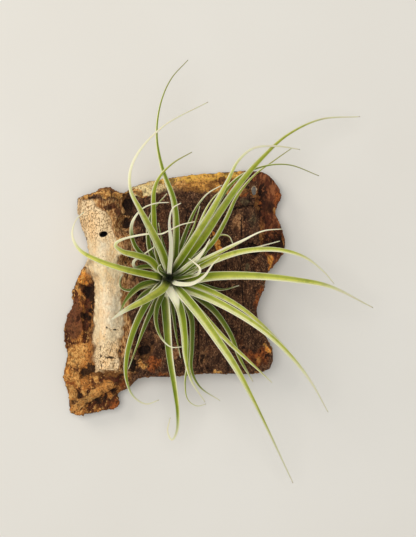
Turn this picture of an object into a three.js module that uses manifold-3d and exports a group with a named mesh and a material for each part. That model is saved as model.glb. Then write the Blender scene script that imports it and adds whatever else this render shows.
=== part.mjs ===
// An air plant on a slab of cork bark, lying on a table.
//
// The plant is a rosette: a short tapering stem with narrow channelled leaves round it, the
// youngest at its tip and the oldest at its foot. Each leaf leaves the stem a little lower than
// the one before, so the leaves lie over each other like the jets of a fountain, each in a shell
// of its own, and end in long thread-like tips. Wiry roots under the stem grip the bark. The
// slab is one broken piece of bark: a dark furrowed plate with a pale rounded ridge on its west
// side, a lower broken ledge in the south-west and a torn flap in the north-east.
//
// Millimetres. +Z is up, +Y is north, and the origin is on the table under the stem, in the
// middle of the flat spot that the slab rests on.

import * as THREE from "three";
import Module from "manifold-3d";
import { mergeVertices } from "three/addons/utils/BufferGeometryUtils.js";

const wasm = await Module();
wasm.setup();

// Driving dimensions.
const GAP = 0.3; // left between two pieces that touch
const PLATE_TOP = 19; // height of the bark plate
const RIDGE_RISE = 8.5; // the pale ridge over the plate
const LEDGE_TOP = 10; // the broken ledge beside the ridge
const FURROW = 0.8; // depth of the furrows in the plate
const THINNEST_BARK = 4.5;
const STEM = { foot: 24.5, rise: 26, footRadius: 7.2, tipRadius: 1.8 };
const CROWN = { lift: 34, innerLift: 14, innerPower: 8, sink: 1, crest: 48 };
const BLADE = {
  middle: 0.9, // thickness along the midrib at the root
  edge: 0.65, // thickness of the margins, and of the whole tip
  tipWidth: 0.7,
  rootWidth: 2.1,
  openingLength: 9, // how far out a blade reaches its full width
  channel: 0.2, // rise of the margins over the midrib, for each millimetre of width
  knee: 0.65, // share of the length where a blade thins
  thinning: 0.45,
};
const ROOT = { radius: 0.55, count: 7, reach: 13, collarRadius: 6.6, collarThickness: 1.6 };
const STEPS_PER_POINT = 2; // rings of a blade between two points of its route

// The plan below was read from one point high above the table. What stands nearer to that
// point looks larger, so every piece is drawn in towards the line of sight by its height.
const EYE = new THREE.Vector3(19.5, 4.75, 800);
const READING_HEIGHT = 22;

// The leaves from the youngest to the oldest. A route is where the middle of the blade runs in
// plan, [east, north] of the stem. Width is at the widest place. Droop is how far the tip
// hangs below the leaf's shell, knee is the share of the length where the blade thins, and
// blunt is above 1 where it stays wide for longer.
const LEAVES = [
  { width: 1.6, blunt: 1.6, route: [[-3, 2], [-4.8, 3.5], [-5.3, 5.5], [-4, 6.8]] },
  { width: 2.4, blunt: 1.6, route: [[0.3, 5], [1, 17], [0.2, 28.5], [2, 35], [6, 37.5]] },
  {
    width: 2.2, blunt: 1.4,
    route: [[5.5, 0], [10.5, 0.8], [14.8, 2.2], [15.6, 4.6], [12.5, 7.8], [9.8, 9.8]],
  },
  { width: 4.8, blunt: 1.7, route: [[-3, -4.8], [-11.5, -10.5], [-20.5, -15.3], [-28.8, -20.8]] },
  {
    width: 4.6, droop: 4, knee: 0.42,
    route: [
      [-3, 11], [-8.5, 22.5], [-14.8, 34.5], [-19.3, 44],
      [-19.3, 54], [-14.5, 64], [-2, 76.5], [19.5, 88],
    ],
  },
  { width: 2.2, blunt: 1.4, route: [[3, -2.5], [11, -3], [17.5, 0.8], [22, 7], [25.3, 10.3]] },
  { width: 3.4, blunt: 1.8, route: [[5.5, 3], [10, 6.5], [14, 9.8], [17.5, 14], [20.5, 19.5]] },
  {
    width: 4, blunt: 1.2, knee: 0.38,
    route: [
      [-6, 5], [-9.5, 8.7], [-17, 11.3], [-23.5, 13.2], [-27, 16.5],
      [-24.5, 18.8], [-11, 22], [-4, 22], [0.5, 24], [6, 26.6], [13, 28.2],
    ],
  },
  {
    width: 4, droop: 6, knee: 0.5, blunt: 1.5,
    route: [
      [4, 7], [11.8, 19], [21.3, 34], [29.5, 49],
      [34.5, 58.5], [42, 64.8], [53, 66], [65.5, 64.3],
    ],
  },
  { width: 2, blunt: 1.4, route: [[5, 1], [9, 3], [12.5, 4.5], [15.5, 6.8]] },
  {
    width: 5.2, droop: 8, knee: 0.55, blunt: 1.2,
    route: [[4, -5], [13.5, -16.5], [24, -31], [33, -44.5], [41, -59], [49, -75], [62, -102.5]],
  },
  {
    width: 3,
    route: [
      [-8.5, 7], [-13, 11], [-17, 16], [-18.8, 22],
      [-18.3, 28], [-13.5, 34.5], [-7, 37.3], [0, 37.8],
    ],
  },
  { width: 3, route: [[7, 4], [21, 11], [36, 18.3], [47, 23.5], [56.5, 24.5]] },
  {
    width: 4, droop: 4, knee: 0.75, blunt: 1.2,
    route: [[-7, 1], [-22, 4.1], [-36.5, 9.1], [-45, 14.3], [-48.4, 21.5], [-46.5, 29], [-42.5, 33]],
  },
  {
    width: 4.5, droop: 8, knee: 0.58, blunt: 1.3,
    route: [
      [5.5, 6.5], [15.8, 19], [25.8, 34], [36.5, 49],
      [47, 60.8], [59, 71.5], [75.5, 79.3], [95.5, 80.7],
    ],
  },
  {
    width: 3.8, droop: 8, knee: 0.8, blunt: 1.4,
    route: [[7.5, 2], [21.5, 8.3], [38, 13.4], [54.5, 14], [67.5, 10.5], [77, 3.5], [82.5, -2.8]],
  },
  { width: 2.6, route: [[-8.5, 5.5], [-13, 5.6], [-17, 5.2], [-17.8, 8], [-13, 11.6], [-6, 16.5]] },
  {
    width: 4.9, droop: 12, knee: 0.62, blunt: 1.3,
    route: [[1, -6], [5.5, -16], [7.5, -28.5], [8.3, -40], [11, -51], [18, -62]],
  },
  {
    width: 3.6, droop: 3, knee: 0.7, blunt: 1.4,
    route: [[-4.5, 8], [-7, 20], [-7.8, 33], [-7.5, 44], [-4.5, 51], [2, 57.5], [11.5, 63]],
  },
  {
    width: 4.4, droop: 8, knee: 0.85, blunt: 1.2,
    route: [
      [5.5, -4.3], [20.5, -10.5], [35.5, -18.5], [49.5, -28.3],
      [61, -39.3], [71, -52], [79.5, -67],
    ],
  },
  {
    width: 3.9, droop: 6, knee: 0.5,
    route: [
      [2.5, 8], [3.5, 24], [2.3, 38.5], [-3.5, 55],
      [-6.2, 71], [-4.3, 87], [1, 99.5], [9.5, 109],
    ],
  },
  {
    width: 5, droop: 12, knee: 0.8, blunt: 1.4,
    route: [[8, -1], [23, 0.8], [43, 0.9], [63, -1], [80.5, -4.3], [102, -14.8]],
  },
  {
    width: 3.8, droop: 14, knee: 0.65, blunt: 1.4,
    route: [
      [-5.5, -4], [-12.5, -14.5], [-18, -26.5], [-21.3, -39.5],
      [-21.5, -50], [-18, -59], [-11.5, -63], [-5, -61],
    ],
  },
  {
    width: 3.2, droop: 6, knee: 0.55,
    route: [[7, 8.5], [18.5, 25.5], [27, 42], [35.5, 50.8], [47.5, 55.9], [60, 56.6], [75, 51.1]],
  },
  {
    width: 3.2, droop: 2, knee: 0.9, blunt: 1.4,
    route: [[8, -2], [22, -7.3], [36, -15], [48.5, -25.3], [59.5, -36.5], [63.5, -41.5]],
  },
  { width: 3.2, route: [[-6, 7], [-9, 12], [-10.5, 19], [-10.3, 26], [-8.5, 33], [-1, 42.3]] },
  {
    width: 3.2,
    route: [[-3.5, -8.5], [-6.2, -15], [-6.4, -23], [-3.5, -30.5], [1, -34.5], [6.5, -34.5]],
  },
  { width: 2.8, route: [[6, 8], [13.5, 22.5], [18.5, 34.5], [23, 41], [28, 45]] },
  { width: 4, blunt: 1.5, route: [[-7, -2], [-14.5, -4.3], [-21, -10.5], [-25.3, -18.5]] },
  { width: 2.4, route: [[10.5, 5], [20.5, 8], [30.5, 11.8], [45.5, 15.8], [55.5, 18.5]] },
  {
    width: 3.2, droop: 5, knee: 0.85, blunt: 1.4,
    route: [[5.5, -7], [14.5, -16], [28.5, -31], [41.5, -43], [51.5, -52.3]],
  },
  { width: 2, route: [[-1, 8], [-2.2, 14.5], [-3.8, 20.5], [-5.3, 27.5]] },
  {
    width: 4.8, droop: 14, knee: 0.9, blunt: 1.1,
    route: [
      [-2, -7.5], [-1.2, -23], [0.3, -39.5], [3, -56], [4.4, -68],
      [3.8, -77], [1.5, -81], [-0.7, -77], [0.6, -69.8],
    ],
  },
  {
    width: 2.8, knee: 0.6, blunt: 1.3,
    route: [[8, 6.5], [21, 17], [28.3, 29], [34, 41], [42.5, 51.3], [51.5, 58], [61.5, 65]],
  },
  { width: 2.2, route: [[4, 8], [7, 14], [10, 20], [12.3, 25.5], [15.5, 36]] },
  { width: 3.4, route: [[-4.5, -7.5], [-11, -21], [-16, -34], [-20.3, -45.5]] },
  {
    width: 3.2, droop: 8, knee: 0.75, blunt: 1.3,
    route: [[5.5, -7.5], [11, -20], [11.4, -34], [11.2, -46], [15.5, -54.5], [25.5, -61.3]],
  },
  { width: 3, route: [[10.5, 5], [16.5, 11], [21.5, 17.5], [26, 21.5], [30, 20.8], [32, 17]] },
  { width: 2.8, route: [[3.5, 8], [7.8, 21.5], [13.5, 34.8], [19, 42], [26.5, 46.5]] },
  {
    width: 2.8, droop: 8,
    route: [[2.5, -9], [7.8, -25], [9.3, -41], [8, -53], [9.5, -61], [14, -64], [18.5, -63]],
  },
  { width: 2.8, route: [[-6, -4.5], [-10, -6], [-13.5, -8.3], [-19, -14.5]] },
  {
    width: 3.4, droop: 3, knee: 0.9, blunt: 1.8,
    route: [[10.5, -7], [22.5, -16.5], [30.5, -28], [35.5, -40.5], [42, -51.8]],
  },
  { width: 2.4, route: [[1, -9], [2, -17], [3.8, -30], [5.8, -40]] },
  {
    width: 2.6,
    route: [[-7, -3], [-13, -4.5], [-21, -6.2], [-24.2, -4.5], [-24.3, 0], [-23, 1.8]],
  },
  { width: 3, route: [[8, -1.5], [15.5, -3.3], [26.5, -5.8], [35, -3.8]] },
];

const rankOf = (order) => 1 - order / (LEAVES.length - 1);
const rootRadius = (rank) => STEM.footRadius + (STEM.tipRadius - STEM.footRadius) * rank;
const rootHeight = (rank) => STEM.foot + STEM.rise * rank;

// Height of the shell of that rank, so far out from the stem.
function shellHeight(rank, out) {
  const lift = CROWN.lift * rank + CROWN.innerLift * rank ** CROWN.innerPower - CROWN.sink;
  const reach = Math.max(0, out - rootRadius(rank)) / CROWN.crest;
  return rootHeight(rank) + lift * Math.sin((reach * Math.PI) / 2);
}

// Moves a geometry's points along their lines of sight to their true places.
function drawnIn(geometry) {
  const p = geometry.getAttribute("position");
  for (let i = 0; i < p.count; i++) {
    const share = (EYE.z - p.getZ(i)) / (EYE.z - READING_HEIGHT);
    p.setX(i, EYE.x + (p.getX(i) - EYE.x) * share);
    p.setY(i, EYE.y + (p.getY(i) - EYE.y) * share);
  }
  return geometry;
}

// The middle line of a blade, from its root on the stem to its tip.
function midrib(leaf, rank) {
  const first = new THREE.Vector3(...leaf.route[0], 0);
  const root = first.clone().setLength(rootRadius(rank));
  const points = leaf.route.map(([x, y]) => new THREE.Vector3(x, y, 0));
  const start = first.length() > root.length() + 1 ? [root, ...points] : [root, ...points.slice(1)];
  const plan = new THREE.CatmullRomCurve3(start, false, "centripetal");
  const line = plan.getPoints((start.length - 1) * STEPS_PER_POINT);
  const along = [0];
  for (let i = 1; i < line.length; i++) along.push(along[i - 1] + line[i].distanceTo(line[i - 1]));
  const length = along.at(-1);
  return line.map((p, i) => {
    const share = along[i] / length;
    const hang = (leaf.droop ?? 0) * Math.max(0, (share - 0.45) / 0.55) ** 2;
    const at = new THREE.Vector3(p.x, p.y, shellHeight(rank, p.length()) - hang);
    return { at, share, out: along[i] };
  });
}

// Width of a blade: narrow where it clasps the stem, full a little way out, and from its knee on
// drawn out to a thread.
function bladeWidth(leaf, share, out) {
  const open = THREE.MathUtils.smoothstep(out, 0, BLADE.openingLength);
  const broad = BLADE.rootWidth + (leaf.width - BLADE.rootWidth) * open;
  const knee = leaf.knee ?? BLADE.knee;
  const thinning = 1 - BLADE.thinning * THREE.MathUtils.smoothstep(share, knee - 0.15, knee + 0.15);
  const taper = (1 - share) ** (1 / (leaf.blunt ?? 1)) * thinning;
  return BLADE.tipWidth + (broad - BLADE.tipWidth) * taper;
}

// A blade as rings of six points, left to right over its hollow upper face and back under it.
function bladeRings(leaf, rank) {
  const line = midrib(leaf, rank);
  return line.map(({ at, share, out }, i) => {
    const ahead = line[Math.min(i + 1, line.length - 1)].at;
    const behind = line[Math.max(i - 1, 0)].at;
    const run = ahead.clone().sub(behind).normalize();
    const across = new THREE.Vector3(run.y, -run.x, 0).normalize();
    const up = across.clone().cross(run);
    const half = bladeWidth(leaf, share, out) / 2;
    const edgeRise = 2 * half * BLADE.channel * THREE.MathUtils.smoothstep(share, 0, 0.3);
    const thick = BLADE.edge + (BLADE.middle - BLADE.edge) * (1 - share);
    const place = (side, rise) => at.clone().addScaledVector(across, side).addScaledVector(up, rise);
    return [
      place(-half, edgeRise + BLADE.edge / 2),
      place(0, thick / 2),
      place(half, edgeRise + BLADE.edge / 2),
      place(half, edgeRise - BLADE.edge / 2),
      place(0, -thick / 2),
      place(-half, edgeRise - BLADE.edge / 2),
    ];
  });
}

// Closes rings of six points into a solid. The upper and lower faces are split alike.
function skin(rings) {
  const sides = 6;
  const index = [];
  for (let ring = 0; ring + 1 < rings.length; ring++) {
    for (let k = 0; k < sides; k++) {
      const a = ring * sides + k;
      const b = ring * sides + ((k + 1) % sides);
      const [c, d] = [b + sides, a + sides];
      if (k < 3) index.push(a, b, c, a, c, d);
      else index.push(a, b, d, b, c, d);
    }
  }
  const end = (rings.length - 1) * sides;
  index.push(0, 5, 1, 1, 5, 4, 1, 4, 2, 2, 4, 3);
  for (const corner of [0, 1, 5, 1, 4, 5, 1, 2, 4, 2, 3, 4]) index.push(end + corner);
  const geometry = new THREE.BufferGeometry().setFromPoints(rings.flat());
  geometry.setIndex(index);
  return geometry;
}

// Turns a geometry into a solid for cutting and joining, and back.
function solid(geometry) {
  geometry.deleteAttribute("normal");
  geometry.deleteAttribute("uv");
  const merged = mergeVertices(geometry, 1e-4);
  return new wasm.Manifold(
    new wasm.Mesh({
      numProp: 3,
      vertProperties: merged.getAttribute("position").array,
      triVerts: new Uint32Array(merged.index.array),
    }),
  );
}

function geometryOf(body) {
  const mesh = body.getMesh();
  return new THREE.BufferGeometry()
    .setAttribute("position", new THREE.BufferAttribute(mesh.vertProperties, 3))
    .setIndex(new THREE.BufferAttribute(mesh.triVerts, 1));
}

// The slab's outline, [east, north], from its north-west corner round by the east.
const BARK_OUTLINE = [
  [-46, 40], [-37, 43], [-33.5, 45.5], [-28.5, 45.3], [-23.5, 42.4], [-18.5, 45.5],
  [-8.5, 48.8], [5.5, 51], [25.5, 52.8], [46.5, 53.5], [52.5, 49], [56.5, 41],
  [53, 33.5], [56, 26], [58.5, 16], [54.5, 8], [49, 2], [47.5, -6], [44, -16],
  [46.5, -25], [52.2, -37], [50.5, -45.5], [39.5, -48.3], [20.5, -48], [-2, -49.8],
  [-15.5, -50.3], [-19.5, -55], [-25.8, -58], [-24.2, -63.5], [-33, -66.5], [-43, -68.6],
  [-49, -68], [-50.5, -58.5], [-53, -48.5], [-51, -38.5], [-52.5, -30], [-51.5, -20],
  [-48, -13.5], [-48.5, -7], [-44.5, 2.5], [-41, 9], [-41, 18], [-44.5, 27],
];

// Lumps (above 0) and hollows (below 0) of the upper face: centre, half lengths and height.
const BARK_LUMPS = [
  { name: "north knob", at: [-31, 42.5], half: [7, 5], height: 3 },
  { name: "golden lump", at: [-42, 2.5], half: [6, 7], height: 3.5 },
  { name: "leathery plate", at: [-46, -20], half: [7, 16], height: 2.5 },
  { name: "recess beside the ridge", at: [-40.2, -17], half: [3.4, 17], height: -4 },
  { name: "crumbled shelf", at: [-44, -40], half: [8, 8], height: 2 },
  { name: "pit under the ridge's end", at: [-40, -49], half: [5, 4], height: -4 },
  { name: "west lobe", at: [-45, -63], half: [5, 6], height: 2 },
  { name: "south lobe", at: [-29, -62.5], half: [6.5, 5], height: 2.4 },
  { name: "gap between the lobes", at: [-37, -63], half: [4, 4.5], height: -2 },
  { name: "north groove", at: [-21.5, 37], half: [4.5, 6], height: -7 },
  { name: "middle groove", at: [-22, 27], half: [5, 6.5], height: -8 },
  { name: "pit beside the ridge", at: [-21, 8], half: [5.5, 4.5], height: -6 },
  { name: "south pit", at: [-12.5, -35.5], half: [5, 7.5], height: -8 },
  { name: "south-west pit", at: [-19.5, -43.5], half: [5, 5.5], height: -8 },
  { name: "loose flake", at: [-9, -45.5], half: [8, 5], height: 3 },
  { name: "east cavity", at: [40, 14], half: [8, 4.5], height: -4 },
  { name: "flap cavity", at: [52, 19], half: [6, 5.5], height: -3 },
  { name: "cavity behind the tear", at: [40, 46], half: [7, 4], height: -4 },
  { name: "upper east swell", at: [33, 25], half: [7, 10], height: 1.4 },
  { name: "lower east swell", at: [30, -20], half: [8, 16], height: 1.4 },
];
const BAND = { from: [-27, -52], to: [-44, -60.5], halfWidth: 3.4, height: 3.5 };

// 0 below low, 1 above high, and smooth between.
const step = (low, high, v) => THREE.MathUtils.smoothstep(v, low, high);

// 1 in the middle of an oval and 0 outside it.
function oval(x, y, [centreX, centreY], [halfX, halfY]) {
  return 1 - step(0.2, 1, Math.hypot((x - centreX) / halfX, (y - centreY) / halfY));
}

// Foot of the ridge on its west and on its east side, at that northing.
const ridgeWest = (y) => -37.8 - 3.5 * step(-2, 10, y) - 4.5 * step(18, 38, y);
const ridgeEast = (y) => -20.5 + 1.3 * Math.sin(y / 9);

// Height of the slab's upper face.
function barkTop(x, y) {
  const west = ridgeWest(y);
  const east = ridgeEast(y);
  // The plate is furrowed from north to south, and worn level where the plant sits.
  const narrow = Math.sin(x / 1.9 + 0.9 * Math.sin(y / 14));
  const broad = 0.8 * Math.sin(x / 4.3 + 1.7) * Math.cos(y / 15);
  let z = PLATE_TOP + FURROW * (narrow + broad) * (1 - oval(x, y, [0, 0], [18, 18]));
  // The ridge is steep in the west and slopes off to the east, and breaks off in the south.
  const across = THREE.MathUtils.clamp((x - west) / (east - west), 0, 1);
  const rounding = Math.sin(Math.PI * (0.1 + 0.9 * across ** 0.8)) ** 0.75;
  const flank = step(west - 0.8, west + 0.8, x) * (1 - step(east - 1, east + 1, x));
  z += (RIDGE_RISE + 0.8 * Math.sin(y / 5)) * rounding * flank * step(-48.5, -46.5, y);
  // A broken ledge lies west of the ridge, and a crumbled block south of it.
  const ledge = (1 - step(west - 1, west + 0.6, x)) * (1 - step(5, 12, y));
  z = THREE.MathUtils.lerp(z, LEDGE_TOP + 1.5 * Math.sin(y / 5) - 2 * (1 - step(-52, -44, x)), ledge);
  const block = (1 - step(-50, -47, y)) * (1 - step(-24, -19, x));
  z = THREE.MathUtils.lerp(z, LEDGE_TOP + 1 - 4 * (1 - step(-68, -52, y)), block);
  // A flat splinter lies slantwise over the block.
  const [dx, dy] = [BAND.to[0] - BAND.from[0], BAND.to[1] - BAND.from[1]];
  const [px, py] = [x - BAND.from[0], y - BAND.from[1]];
  const share = THREE.MathUtils.clamp((px * dx + py * dy) / (dx * dx + dy * dy), 0, 1);
  const away = Math.hypot(px - share * dx, py - share * dy);
  z += BAND.height * (1 - step(0.4 * BAND.halfWidth, BAND.halfWidth, away));
  // The north side breaks away in a slope.
  z -= 10 * step(40, 53, y + 0.06 * x) * step(-26, -18, x);
  z -= 5 * step(40, 47, y) * (1 - step(-26, -18, x));
  // A gully parts the torn flap in the north-east from the plate.
  const gully = step(43.5, 47, x - 0.12 * (36 - y)) * step(2, 10, y);
  z -= 9 * gully;
  z += 5.5 * gully * step(50, 55, x - 0.05 * Math.abs(y - 28));
  for (const { at, half, height } of BARK_LUMPS) z += height * oval(x, y, at, half);
  return Math.max(z, barkUnder(x, y) + THINNEST_BARK);
}

// Height of the slab's under face: a flat spot under its weight, rising to the broken rim.
function barkUnder(x, y) {
  const away = Math.hypot((x + 1) / 30, (y + 4) / 34);
  const rise = 3.2 * (away - 1) * (2 + Math.sin(x / 7) * Math.cos(y / 9));
  return THREE.MathUtils.clamp(rise, 0, 5.5);
}

function makeBark() {
  const [wide, long, cell] = [120, 128, 2.8];
  const block = new THREE.BoxGeometry(
    wide, long, 1, Math.round(wide / cell), Math.round(long / cell), 1,
  );
  block.translate(2.5, -7.5, 0);
  const p = block.getAttribute("position");
  for (let i = 0; i < p.count; i++) {
    const [x, y] = [p.getX(i), p.getY(i)];
    p.setZ(i, p.getZ(i) > 0 ? barkTop(x, y) : barkUnder(x, y));
  }
  const rim = new THREE.CatmullRomCurve3(
    BARK_OUTLINE.map(([x, y]) => new THREE.Vector3(x, y, 0)), true, "centripetal",
  );
  const corners = rim.getPoints(BARK_OUTLINE.length * 2).map((q) => new THREE.Vector2(q.x, q.y));
  const outline = new THREE.ExtrudeGeometry(new THREE.Shape(corners), { depth: 60, bevelEnabled: false });
  outline.translate(0, 0, -10);
  // A knot hole in the ridge, and a tear beside the flap that the table shows through.
  const knot = new THREE.CylinderGeometry(1, 1, 12, 9).rotateX(Math.PI / 2);
  knot.scale(2.1, 1.3, 1).translate(-33, 22, PLATE_TOP + RIDGE_RISE);
  const tear = new THREE.CylinderGeometry(1, 1, 80, 8).rotateX(Math.PI / 2);
  tear.scale(1.6, 2.8, 1).translate(42.5, 43.5, 10);
  let slab = solid(block).intersect(solid(outline)).subtract(solid(knot)).subtract(solid(tear));
  const pieces = slab.decompose().sort((a, b) => b.volume() - a.volume());
  slab = pieces[0];
  return geometryOf(slab);
}

function makeStem() {
  const profile = [new THREE.Vector2(0, PLATE_TOP + ROOT.collarThickness + 2 * GAP)];
  profile.push(new THREE.Vector2(STEM.footRadius - 1.6, PLATE_TOP + ROOT.collarThickness + 2 * GAP));
  for (const rank of [0, 0.25, 0.5, 0.75, 1]) {
    profile.push(new THREE.Vector2(rootRadius(rank) - 2 * GAP, rootHeight(rank)));
  }
  profile.push(new THREE.Vector2(0, rootHeight(1) + 1));
  return new THREE.LatheGeometry(profile, 14).rotateX(Math.PI / 2);
}

function makeRoots() {
  const collar = new THREE.CylinderGeometry(
    ROOT.collarRadius - 1.2, ROOT.collarRadius, ROOT.collarThickness, 14,
  ).rotateX(Math.PI / 2);
  collar.translate(0, 0, PLATE_TOP + GAP + ROOT.collarThickness / 2);
  let body = solid(collar);
  for (let k = 0; k < ROOT.count; k++) {
    const heading = (k * 2 * Math.PI) / ROOT.count + 0.4 * Math.sin(3 * k);
    const reach = ROOT.reach * (0.85 + 0.15 * Math.cos(5 * k));
    const points = [0.3, 0.55, 0.8, 1].map((share, n) => {
      const turn = heading + 0.22 * Math.sin(2.3 * k + 2.1 * n);
      const [x, y] = [reach * share * Math.cos(turn), reach * share * Math.sin(turn)];
      return new THREE.Vector3(x, y, Math.max(barkTop(x, y), PLATE_TOP) + GAP + 0.25 + ROOT.radius);
    });
    const wire = new THREE.Shape().absarc(0, 0, ROOT.radius, 0, 2 * Math.PI);
    const strand = new THREE.ExtrudeGeometry(wire, {
      steps: 6, curveSegments: 5, bevelEnabled: false, extrudePath: new THREE.CatmullRomCurve3(points),
    });
    body = body.add(solid(strand));
  }
  return geometryOf(body);
}

const leafGreen = new THREE.MeshStandardMaterial({ color: 0x7f9a48, roughness: 0.7, metalness: 0 });
const paleBase = new THREE.MeshStandardMaterial({ color: 0xb9bd9c, roughness: 0.8, metalness: 0 });
const rootBrown = new THREE.MeshStandardMaterial({ color: 0x4a3323, roughness: 0.9, metalness: 0 });
const corkBrown = new THREE.MeshStandardMaterial({ color: 0x6b4630, roughness: 0.95, metalness: 0 });

function piece(name, geometry, material) {
  const mesh = new THREE.Mesh(drawnIn(geometry), material);
  mesh.name = name;
  return mesh;
}

const airPlant = new THREE.Group();
airPlant.add(piece("cork_bark", makeBark(), corkBrown));
airPlant.add(piece("roots", makeRoots(), rootBrown));
airPlant.add(piece("stem", makeStem(), paleBase));
LEAVES.forEach((leaf, order) => {
  const name = "leaf_" + String(order + 1).padStart(2, "0");
  airPlant.add(piece(name, skin(bladeRings(leaf, rankOf(order))), leafGreen));
});

export default airPlant;
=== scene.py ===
# An air plant on a slab of cork bark that lies on a pale table, seen from straight above.
import math
import random

import bmesh
import bpy
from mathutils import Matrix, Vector, noise


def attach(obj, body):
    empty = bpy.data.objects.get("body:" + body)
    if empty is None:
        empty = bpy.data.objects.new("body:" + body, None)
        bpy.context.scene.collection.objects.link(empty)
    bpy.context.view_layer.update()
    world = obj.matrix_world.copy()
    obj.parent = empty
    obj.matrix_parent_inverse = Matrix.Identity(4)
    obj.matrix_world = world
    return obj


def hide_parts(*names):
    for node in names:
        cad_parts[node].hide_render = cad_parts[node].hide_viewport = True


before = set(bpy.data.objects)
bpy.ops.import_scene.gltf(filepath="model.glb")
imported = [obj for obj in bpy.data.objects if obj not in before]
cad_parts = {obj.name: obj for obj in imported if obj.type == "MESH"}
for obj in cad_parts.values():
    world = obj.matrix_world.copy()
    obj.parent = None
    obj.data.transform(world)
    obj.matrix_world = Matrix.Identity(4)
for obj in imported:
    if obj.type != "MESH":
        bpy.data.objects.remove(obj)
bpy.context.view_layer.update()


# Camera. It hangs high over the table and looks straight down through a long lens. The plan of
# the plant was read from this same point, at a height of 22 mm over the table.
MM = 0.001
EYE = Vector((19.5, 4.75, 800)) * MM
READING_HEIGHT = 22 * MM
SEEN_HEIGHT = 268.5 * MM  # from the bottom to the top of the picture, at the reading height
SENSOR_WIDTH = 36  # in millimetres, like the length of the lens


def place_object(name, data):
    thing = bpy.data.objects.new(name, data)
    bpy.context.collection.objects.link(thing)
    return thing


camera_data = bpy.data.cameras.new("camera")
camera_data.sensor_width = SENSOR_WIDTH
camera_data.lens = SENSOR_WIDTH * (EYE.z - READING_HEIGHT) / SEEN_HEIGHT
camera = place_object("camera", camera_data)
camera.location = EYE
bpy.context.scene.camera = camera
bpy.context.scene.view_settings.view_transform = "Standard"


# Light. A soft lamp in the north-west picks out the relief and throws a weak shadow the other
# way. A wide one overhead and the pale surroundings fill it.
def add_lamp(name, position, width, power, tint):
    """A round lamp that faces the middle of the table; its width is in metres."""
    lamp_data = bpy.data.lights.new(name, "AREA")
    lamp_data.shape = "DISK"
    lamp_data.size = width
    lamp_data.energy = power
    lamp_data.color = tint
    lamp = place_object(name, lamp_data)
    lamp.location = position
    lamp.rotation_euler = (Vector((0, 0, 0)) - lamp.location).to_track_quat("-Z", "Y").to_euler()


add_lamp("window_light", Vector((-0.74, 0.52, 0.7)), width=0.6, power=3.2, tint=(1, 0.92, 0.82))
add_lamp("overhead_light", Vector((-0.2, 0.16, 2.8)), width=1.8, power=55, tint=(1, 0.98, 0.955))
world = bpy.data.worlds.new("surroundings")
world.use_nodes = True
background = world.node_tree.nodes["Background"]
background.inputs["Color"].default_value = (0.97, 0.98, 1, 1)
background.inputs["Strength"].default_value = 0.27
bpy.context.scene.world = world


# Table. A plain pale top, matt and a little warm, with hardly any grain. It runs on past every
# edge of the picture, and the bark only lies on it.
TABLE_HALF_WIDTH = 3  # in metres


class Wire:
    """A socket of a material's node tree, with Python's arithmetic on it."""

    def __init__(self, finish, socket):
        self.finish = finish
        self.socket = socket

    def reckon(self, operation, *values):
        return self.finish.node("ShaderNodeMath", {"operation": operation}, dict(enumerate(values)))

    def __add__(self, other):
        return self.reckon("ADD", self, other)

    def __sub__(self, other):
        return self.reckon("SUBTRACT", self, other)

    def __rsub__(self, other):
        return self.reckon("SUBTRACT", other, self)

    def __mul__(self, other):
        return self.reckon("MULTIPLY", self, other)

    __radd__ = __add__
    __rmul__ = __mul__

    def __abs__(self):
        return self.reckon("ABSOLUTE", self)

    def step(self, low, high):
        """0 under low, 1 over high, and smooth between."""
        settings = {"interpolation_type": "SMOOTHSTEP"}
        sockets = {"Value": self, "From Min": low, "From Max": high}
        return self.finish.node("ShaderNodeMapRange", settings, sockets)


def colour(red, green, blue):
    """A colour as it is seen, 0 to 255, as the linear light that Blender wants."""
    seen = [c / 255 for c in (red, green, blue)]
    return (*[c / 12.92 if c < 0.04045 else ((c + 0.055) / 1.055) ** 2.4 for c in seen], 1)


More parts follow.
